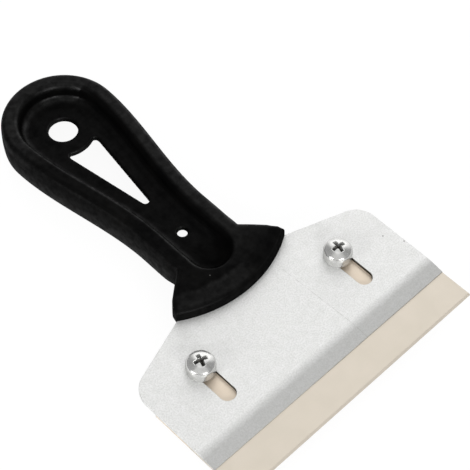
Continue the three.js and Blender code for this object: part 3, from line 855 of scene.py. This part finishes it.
def handle_field(x, y, z):
    """The moulded handle on the right of its middle plane, with z from the web's middle."""
    flat_x, flat_y = x[:, :, 0], y[:, :, 0]
    share = smoothed((y - NECK_CORNER_Y) / (SLOPE_START_Y - NECK_CORNER_Y))
    depth = np.abs(z) - WEB_THICKNESS / 2
    rim_share = np.clip(depth / (HANDLE_HALF_HEIGHT - WEB_THICKNESS / 2), 0, 1)
    collar_share = np.clip(depth / (COLLAR_HALF_HEIGHT - WEB_THICKNESS / 2), 0, 1)
    climb = RIM_TILT * (y - RIM_TILT_Y) * share * rim_share
    z = np.abs(z - climb + COLLAR_DROP * (1 - share) * collar_share * (z < 0))
    inset = -outline_distance(flat_x, flat_y, handle_outline())
    foot_y = band_y(flat_x)
    rise = HANDLE_HALF_HEIGHT - COLLAR_HALF_HEIGHT
    slope = rise * (flat_y - foot_y) / (SLOPE_START_Y - foot_y)
    across = (np.hypot(flat_x, flat_y - COLLAR_CENTRE_Y) - BAND_RADIUS) / COLLAR_BAND
    dish = COLLAR_DISH * np.sin(math.pi * np.clip(across, 0, 1))
    top = COLLAR_HALF_HEIGHT - dish + soft_ramp(slope, FOOT_BLEND)
    top = HANDLE_HALF_HEIGHT - soft_ramp(HANDLE_HALF_HEIGHT - top, SLOPE_BLEND)
    draft = SIDE_DRAFT * (z / HANDLE_HALF_HEIGHT) ** 2
    body = both(draft - inset[:, :, None], z - top[:, :, None], SIDE_ROUND)

    pocket_plan = np.where(
        flat_y < POCKET_FRONT_Y,
        np.hypot(flat_x, flat_y - POCKET_FRONT_Y) - WAIST_HALF_WIDTH + RIM_WIDTH,
        RIM_WIDTH - inset,
    )[:, :, None]
    depth_share = np.clip((HANDLE_HALF_HEIGHT - z) / (HANDLE_HALF_HEIGHT - WEB_THICKNESS / 2), 0, 1)
    pocket_plan = pocket_plan + POCKET_DRAFT * depth_share
    foot_share = POCKET_FOOT_ROUND / POCKET_FOOT_RUN
    pocket = np.maximum(
        pocket_plan, both(pocket_plan * foot_share, WEB_THICKNESS / 2 - z, POCKET_FOOT_ROUND))
    body = both(body, -pocket, RIM_INNER_ROUND)
    for centre_y, radius, edge_round in (
            (HANGING_HOLE_Y, HANGING_HOLE_RADIUS, HOLE_EDGE_ROUND),
            (SMALL_HOLE_Y, SMALL_HOLE_RADIUS, SMALL_HOLE_EDGE_ROUND)):
        hole = (np.hypot(flat_x, flat_y - centre_y) - radius)[:, :, None]
        body = both(body, -hole, edge_round)
    window = outline_distance(flat_x, flat_y, window_outline())[:, :, None]
    return both(body, -window, HOLE_EDGE_ROUND)


def handle_mesh():
    cell = HANDLE_CELL
    low_y = COLLAR_FRONT_Y - 2 * cell
    reach_z = HANDLE_HALF_HEIGHT + RIM_TILT * RIM_TILT_Y
    xs, ys, zs = (np.arange(start, end + 3 * cell, cell) for start, end in (
        (0, COLLAR_HALF_WIDTH), (low_y, HANGING_HOLE_Y + HANDLE_END_RADIUS), (-reach_z, reach_z)))
    x, y, z = np.meshgrid(xs, ys, zs, indexing="ij")
    field = whole(handle_field(x, y, z), [0])
    low = np.array([-xs[-1], ys[0], zs[0]])
    vertices, faces = surface(field, low, cell)
    return mesh_from("handle", vertices, faces)


# Sheet metal

def plate_outline():
    """The holder's plan, with a plain tang that runs on under the collar."""
    corner_y = COLLAR_CENTRE_Y - math.sqrt(COLLAR_ARC_RADIUS ** 2 - COLLAR_HALF_WIDTH ** 2)
    flank = np.array([COLLAR_HALF_WIDTH - PLATE_HALF, corner_y - SHOULDER_Y])
    flank /= np.linalg.norm(flank)
    turn = math.atan2(flank[1], flank[0]) - math.pi / 2
    shoulder_y = SHOULDER_Y - SHOULDER_RADIUS * math.tan(turn / 2)
    shoulder = arc(PLATE_HALF - SHOULDER_RADIUS, shoulder_y, SHOULDER_RADIUS, 0, turn, ARC_STEPS)
    tang_y = SHOULDER_Y + flank[1] / flank[0] * (TANG_HALF_WIDTH - PLATE_HALF)
    right = [(PLATE_HALF, -LIP_REACH), *shoulder, (TANG_HALF_WIDTH, tang_y)]
    return right + mirrored(right)


def slot_outline(side):
    rear = arc(side * SLOT_X, SLOT_REAR_Y, SLOT_WIDTH / 2, 0, math.pi, ARC_STEPS)
    front_y = SLOT_REAR_Y - SLOT_RUN
    front = arc(side * SLOT_X, front_y, SLOT_WIDTH / 2, math.pi, 2 * math.pi, ARC_STEPS)
    return rear + front


def plate_mesh():
    bend_y = LIP_BEVEL - LIP_REACH
    fall = PLATE_THICKNESS - LIP_THICKNESS

    def bend(y, z):
        past = bend_y - y
        if past <= -LIP_BLEND:
            return z
        eased = (past + LIP_BLEND) ** 2 / (4 * LIP_BLEND) if past < LIP_BLEND else past
        return -PLATE_THICKNESS + (z + PLATE_THICKNESS) * (1 - fall * eased / LIP_BEVEL / PLATE_THICKNESS)

    cuts = [bend_y + s * LIP_BLEND for s in np.linspace(1, -1, LIP_CUTS)]
    slots = [slot_outline(side) for side in (1, -1)]
    return bent_sheet("holder_plate", plate_outline(), slots, PLATE_THICKNESS, PLATE_EDGE_ROUND, cuts, bend)


def blade_mesh():
    half, cut = PLATE_HALF, BLADE_CORNER_CUT
    right = [(half, -BLADE_REACH), (half, BLADE_TAIL - cut), (half - cut, BLADE_TAIL)]
    holes = [
        arc(side * SLOT_X, 0, BLADE_HOLE / 2, 0, 2 * math.pi, BLADE_HOLE_STEPS)[:-1] for side in (1, -1)]

    def bend(y, z):
        out = y + BLADE_REACH
        top = -UPPER_GRIND_DROP * max(0, 1 - out / UPPER_GRIND)
        lift = BLADE_THICKNESS - UPPER_GRIND_DROP - BLADE_EDGE
        bottom = -BLADE_THICKNESS + lift * max(0, 1 - out / LOWER_GRIND)
        return top + z / BLADE_THICKNESS * (top - bottom)

    cuts = [LOWER_GRIND - BLADE_REACH, UPPER_GRIND - BLADE_REACH]
    mesh = bent_sheet("blade", right + mirrored(right), holes, BLADE_THICKNESS, BLADE_EDGE_ROUND, cuts, bend)
    mesh.polygons.foreach_set("use_smooth", [False] * len(mesh.polygons))
    return mesh


# Fasteners

def head_mesh_parts():
    cell = FASTENER_CELL
    side = np.arange(int(HEAD_RADIUS / cell) + 3) * cell
    up = np.arange(int(HEAD_HEIGHT / cell) + 6) * cell - 2 * cell
    x, y, z = np.meshgrid(side, side, up, indexing="ij")
    radius = np.hypot(x, y)
    crown = np.hypot(radius, z - HEAD_HEIGHT + HEAD_CROWN_RADIUS) - HEAD_CROWN_RADIUS
    head = both(both(radius - HEAD_RADIUS, crown, HEAD_EDGE_ROUND), -z, RECESS_ROUND)
    depth = np.clip((HEAD_HEIGHT - z) / RECESS_DEPTH, 0, 1)
    span = (RECESS_SPAN + (RECESS_FOOT_SPAN - RECESS_SPAN) * depth) / 2
    wing = (RECESS_WING + (RECESS_FOOT_WING - RECESS_WING) * depth) / 2
    floor = HEAD_HEIGHT - RECESS_DEPTH - z + radius * RECESS_CLIMB
    arms = either(
        both(x - span, y - wing, RECESS_ROUND), both(y - span, x - wing, RECESS_ROUND), 2 * RECESS_ROUND)
    head = both(head, -both(arms, floor, RECESS_ROUND), RECESS_ROUND)
    return surface(whole(head, (0, 1)), np.array([-side[-1], -side[-1], up[0]]), cell)


def thread_mesh_parts(length):
    """A shank with a helical thread, running down from the head."""
    rows, around = int(length / THREAD_PITCH * THREAD_ROWS), THREAD_SIDES
    vertices, faces = [], []
    for row in range(rows + 1):
        depth = length * row / rows
        for i in range(around):
            phase = (depth / THREAD_PITCH + i / around) % 1
            crest = min(1, max(0, THREAD_SLOPE * abs(phase - 0.5) * 2 - 1) / THREAD_FLANK)
            radius = THREAD_RADIUS - THREAD_DEPTH * (1 - crest)
            radius = min(radius, THREAD_RADIUS - SCREW_END_CHAMFER + max(0, length - depth))
            angle = 2 * math.pi * i / around
            vertices.append((radius * math.cos(angle), radius * math.sin(angle), -depth))
    for row in range(rows):
        for i in range(around):
            a, b = row * around + i, row * around + (i + 1) % around
            faces.append((a, a + around, b + around, b))
    faces.append(tuple(range(rows * around, (rows + 1) * around))[::-1])
    faces.append(tuple(range(around)))
    return vertices, faces


def screw_mesh():
    vertices, faces = head_mesh_parts()
    head_seat = screw_high[2] - ORIGIN[2] - HEAD_HEIGHT
    length = head_seat - (screw_low[2] - ORIGIN[2])
    shank_vertices, shank_faces = thread_mesh_parts(length)
    shifted = [tuple(i + len(vertices) for i in face) for face in shank_faces]
    mesh = mesh_from("screw", np.concatenate([vertices, shank_vertices]), list(faces) + shifted)
    return mesh, head_seat


def ring_mesh(name, hole, outer, thickness, split=0, lift=0):
    """A washer swept from a section with rounded corners. A split one ends in two flat cuts."""
    inner, outside, r = hole / 2, outer / 2, WASHER_EDGE_ROUND
    corners = ((outside - r, r, -0.5), (outside - r, thickness - r, 0), (inner + r, thickness - r, 0.5),
               (inner + r, r, 1))
    section = []
    for x, y, start in corners:
        section += arc(x, y, r, start * math.pi, (start + 0.5) * math.pi, WASHER_ROUND_STEPS)
    gap = 2 * math.asin(split / (inner + outside))
    angles = np.linspace(gap / 2, 2 * math.pi - gap / 2, WASHER_STEPS + 1)
    if not split:
        angles = angles[:-1]
    vertices, faces, count = [], [], len(section)
    for share, angle in zip(np.linspace(-1, 1, len(angles)), angles):
        for radius, height in section:
            vertices.append((radius * math.cos(angle), radius * math.sin(angle), height + lift * share))
    for i in range(len(angles) - (1 if split else 0)):
        for j in range(count):
            a, b = i * count + j, i * count + (j + 1) % count
            wrap = len(vertices)
            faces.append((a, (a + count) % wrap, (b + count) % wrap, b)[::-1])
    if split:
        faces.append(tuple(range(count))[::-1])
        faces.append(tuple(range(len(vertices) - count, len(vertices))))
    return mesh_from(name, vertices, faces)


def nut_mesh(height):
    cell = NUT_CELL
    corner = NUT_FLATS / 2 / math.cos(math.pi / 6)
    side = np.arange(int(corner / cell) + 3) * cell
    up = np.arange(int(height / 2 / cell) + 3) * cell
    x, y, z = np.meshgrid(side, side, up, indexing="ij")
    radius = np.hypot(x, y)
    flats = [np.abs(x * math.cos(a) + y * math.sin(a)) - NUT_FLATS / 2 for a in np.radians((30, 90, 150))]
    hexagon = np.maximum(np.maximum(flats[0], flats[1]), flats[2])
    slant = math.radians(NUT_CHAMFER_ANGLE)
    cone = (radius - NUT_FLATS / 2 + (z - height / 2) / math.tan(slant)) * math.sin(slant)
    body = both(both(hexagon, z - height / 2, NUT_EDGE_ROUND), cone, NUT_EDGE_ROUND)
    mouth = (radius - NUT_BORE / 2 - NUT_CHAMFER + height / 2 - z) * NUT_BORE_SLOPE
    bore = np.minimum(radius - NUT_BORE / 2, mouth)
    body = both(body, -bore, NUT_BORE_ROUND)
    vertices, faces = surface(whole(body, (0, 1, 2)), -np.array([side[-1], side[-1], up[-1]]), cell)
    return mesh_from("nut", vertices, faces)


plastic, sheet_metal, cream = black_plastic(), zinc_sheet(), cream_steel()
zinc, head_zinc = bright_zinc("bright_zinc"), bright_zinc("recessed_zinc", recessed=True)
piece("handle_moulding", handle_mesh(), "tool_body", plastic,
      at=(0, 0, HANDLE_MIDDLE), replaces="handle")
piece("holder_sheet", plate_mesh(), "tool_body", sheet_metal, replaces="holder_plate")
piece("blade_strip", blade_mesh(), "blade_carriage", cream, at=(0, 0, BLADE_TOP),
      replaces="blade")

screw, head_seat = screw_mesh()
for hand in ("right", "left"):
    low, high = measured(f"screw_{hand}")
    x = (low[0] + high[0]) / 2
    piece(f"pan_screw_{hand}", screw, f"{hand}_screw", head_zinc, (x, 0, head_seat),
          SCREW_TURN[hand], f"screw_{hand}")
    low, high = measured(f"lock_washer_{hand}") - ORIGIN
    ring = ring_mesh("lock_washer", WASHER_HOLE, LOCK_WASHER, high[2] - low[2] - 2 * LOCK_WASHER_LIFT,
                     LOCK_WASHER_SPLIT, LOCK_WASHER_LIFT)
    piece(f"spring_washer_{hand}", ring, "blade_carriage", zinc,
          (x, 0, low[2] + LOCK_WASHER_LIFT), SPLIT_TURN[hand], f"lock_washer_{hand}")
    low, high = measured(f"plain_washer_{hand}") - ORIGIN
    ring = ring_mesh("plain_washer", WASHER_HOLE, PLAIN_WASHER, high[2] - low[2])
    piece(f"flat_washer_{hand}", ring, f"{hand}_nut", zinc, (x, 0, low[2]), 0,
          f"plain_washer_{hand}")
    low, high = measured(f"nut_{hand}") - ORIGIN
    piece(f"hex_nut_{hand}", nut_mesh(high[2] - low[2]), f"{hand}_nut", zinc,
          (x, 0, (low[2] + high[2]) / 2), 0, f"nut_{hand}")


# Camera, recovered from the photograph
bpy.context.scene.view_settings.view_transform = "Standard"

CAMERA_AZIMUTH = -44.12
CAMERA_ELEVATION = 54.4
CAMERA_TARGET = (12.11, 28.69, 0)
CAMERA_DISTANCE = 476.3
CAMERA_LENS = 113.32
CAMERA_SENSOR = 36

azimuth, elevation = math.radians(CAMERA_AZIMUTH), math.radians(CAMERA_ELEVATION)
back = Vector((math.sin(azimuth) * math.cos(elevation), -math.cos(azimuth) * math.cos(elevation),
               math.sin(elevation)))
right = Vector((math.cos(azimuth), math.sin(azimuth), 0))
turned = Matrix((right, back.cross(right), back)).transposed().to_4x4()
target = Vector((ORIGIN + np.array(CAMERA_TARGET)) * MILLIMETRE)
camera = bpy.data.objects.new("camera", bpy.data.cameras.new("camera"))
camera.data.lens = CAMERA_LENS
camera.data.sensor_width = CAMERA_SENSOR
camera.matrix_world = Matrix.Translation(target + back * CAMERA_DISTANCE * MILLIMETRE) @ turned
bpy.context.scene.collection.objects.link(camera)
bpy.context.scene.camera = camera


# Studio: a pale floor, a dim room with three pale parts, and soft lamps

FLOOR_HALF = 3.0
FLOOR_COLOUR = (0.8, 0.8, 0.8)
FLOOR_GLOW = 1.06
FLOOR_GLOW_SHARE = 0.88
ROOM_LIGHT = 0.25
# Pale parts of the room: direction, cosine at the edge, cosine at full strength, light added
PALE_SIDES = (
    ((0.755, 0.553, 0.352), 0.6, 0.92, 1.0),
    ((0.1, 0.1, 0.99), 0.88, 0.97, 0.5),
    ((-0.45, -0.46, 0.765), 0.7, 0.88, 0.4),
)
# Lamps: name, azimuth, elevation, distance and size in metres, watts
LAMPS = (
    ("front_softbox", -16, 25, 1.2, 0.45, 5.2),
    ("left_softbox", -90, 22, 1.2, 0.45, 5),
    ("back_softbox", 130, 42, 1.2, 1.6, 3),
)


def seen_directly(tree):
    """One for camera, glossy and transmission rays, and zero for diffuse light."""
    path = node(tree, "ShaderNodeLightPath")
    first = arithmetic(tree, "MAXIMUM", path.outputs["Is Camera Ray"], path.outputs["Is Glossy Ray"])
    return arithmetic(tree, "MAXIMUM", first, path.outputs["Is Transmission Ray"])


def floor():
    corners = [(-1, -1, 0), (1, -1, 0), (1, 1, 0), (-1, 1, 0)]
    mesh = mesh_from("floor", np.array(corners) * FLOOR_HALF / MILLIMETRE, [(0, 1, 2, 3)], smooth=False)
    made = bpy.data.objects.new("floor", mesh)
    bpy.context.scene.collection.objects.link(made)
    material, tree, shader = material_tree("floor")
    shader.inputs["Base Color"].default_value = (*FLOOR_COLOUR, 1)
    shader.inputs["Roughness"].default_value = 1
    shader.inputs["Specular IOR Level"].default_value = 0
    glow = node(tree, "ShaderNodeEmission", {"Color": (1, 1, 1, 1), "Strength": FLOOR_GLOW})
    share = arithmetic(tree, "MULTIPLY", seen_directly(tree), FLOOR_GLOW_SHARE)
    mixed = node(tree, "ShaderNodeMixShader", {0: share, 1: shader.outputs[0], 2: glow.outputs[0]})
    tree.links.new(mixed.outputs[0], tree.nodes["Material Output"].inputs["Surface"])
    mesh.materials.append(material)


def room_light():
    world = bpy.data.worlds.new("room")
    bpy.context.scene.world = world
    world.use_nodes = True
    tree = world.node_tree
    direction = node(tree, "ShaderNodeTexCoord").outputs["Generated"]
    strength = ROOM_LIGHT
    for side, edge, full, light in PALE_SIDES:
        towards = compared(tree, "DOT_PRODUCT", direction, side)
        added = ranged(tree, towards, edge, full, 0.0, light, interpolation_type="SMOOTHSTEP")
        strength = arithmetic(tree, "ADD", added, strength)
    tree.links.new(strength, tree.nodes["Background"].inputs["Strength"])
    tree.nodes["Background"].inputs["Color"].default_value = (1, 1, 1, 1)


def lamp(name, azimuth, elevation, distance, size, watts):
    """A square soft light that faces the tool from a direction. Azimuth 0 stands on the -Y side."""
    light = bpy.data.lights.new(name, "AREA")
    light.shape = "SQUARE"
    light.size = size
    light.energy = watts
    made = bpy.data.objects.new(name, light)
    a, e = math.radians(azimuth), math.radians(elevation)
    away = Vector((math.sin(a) * math.cos(e), -math.cos(a) * math.cos(e), math.sin(e)))
    facing = away.to_track_quat("Z", "Y").to_matrix().to_4x4()
    made.matrix_world = Matrix.Translation(away * distance) @ facing
    bpy.context.scene.collection.objects.link(made)


floor()
room_light()
for settings in LAMPS:
    lamp(*settings)
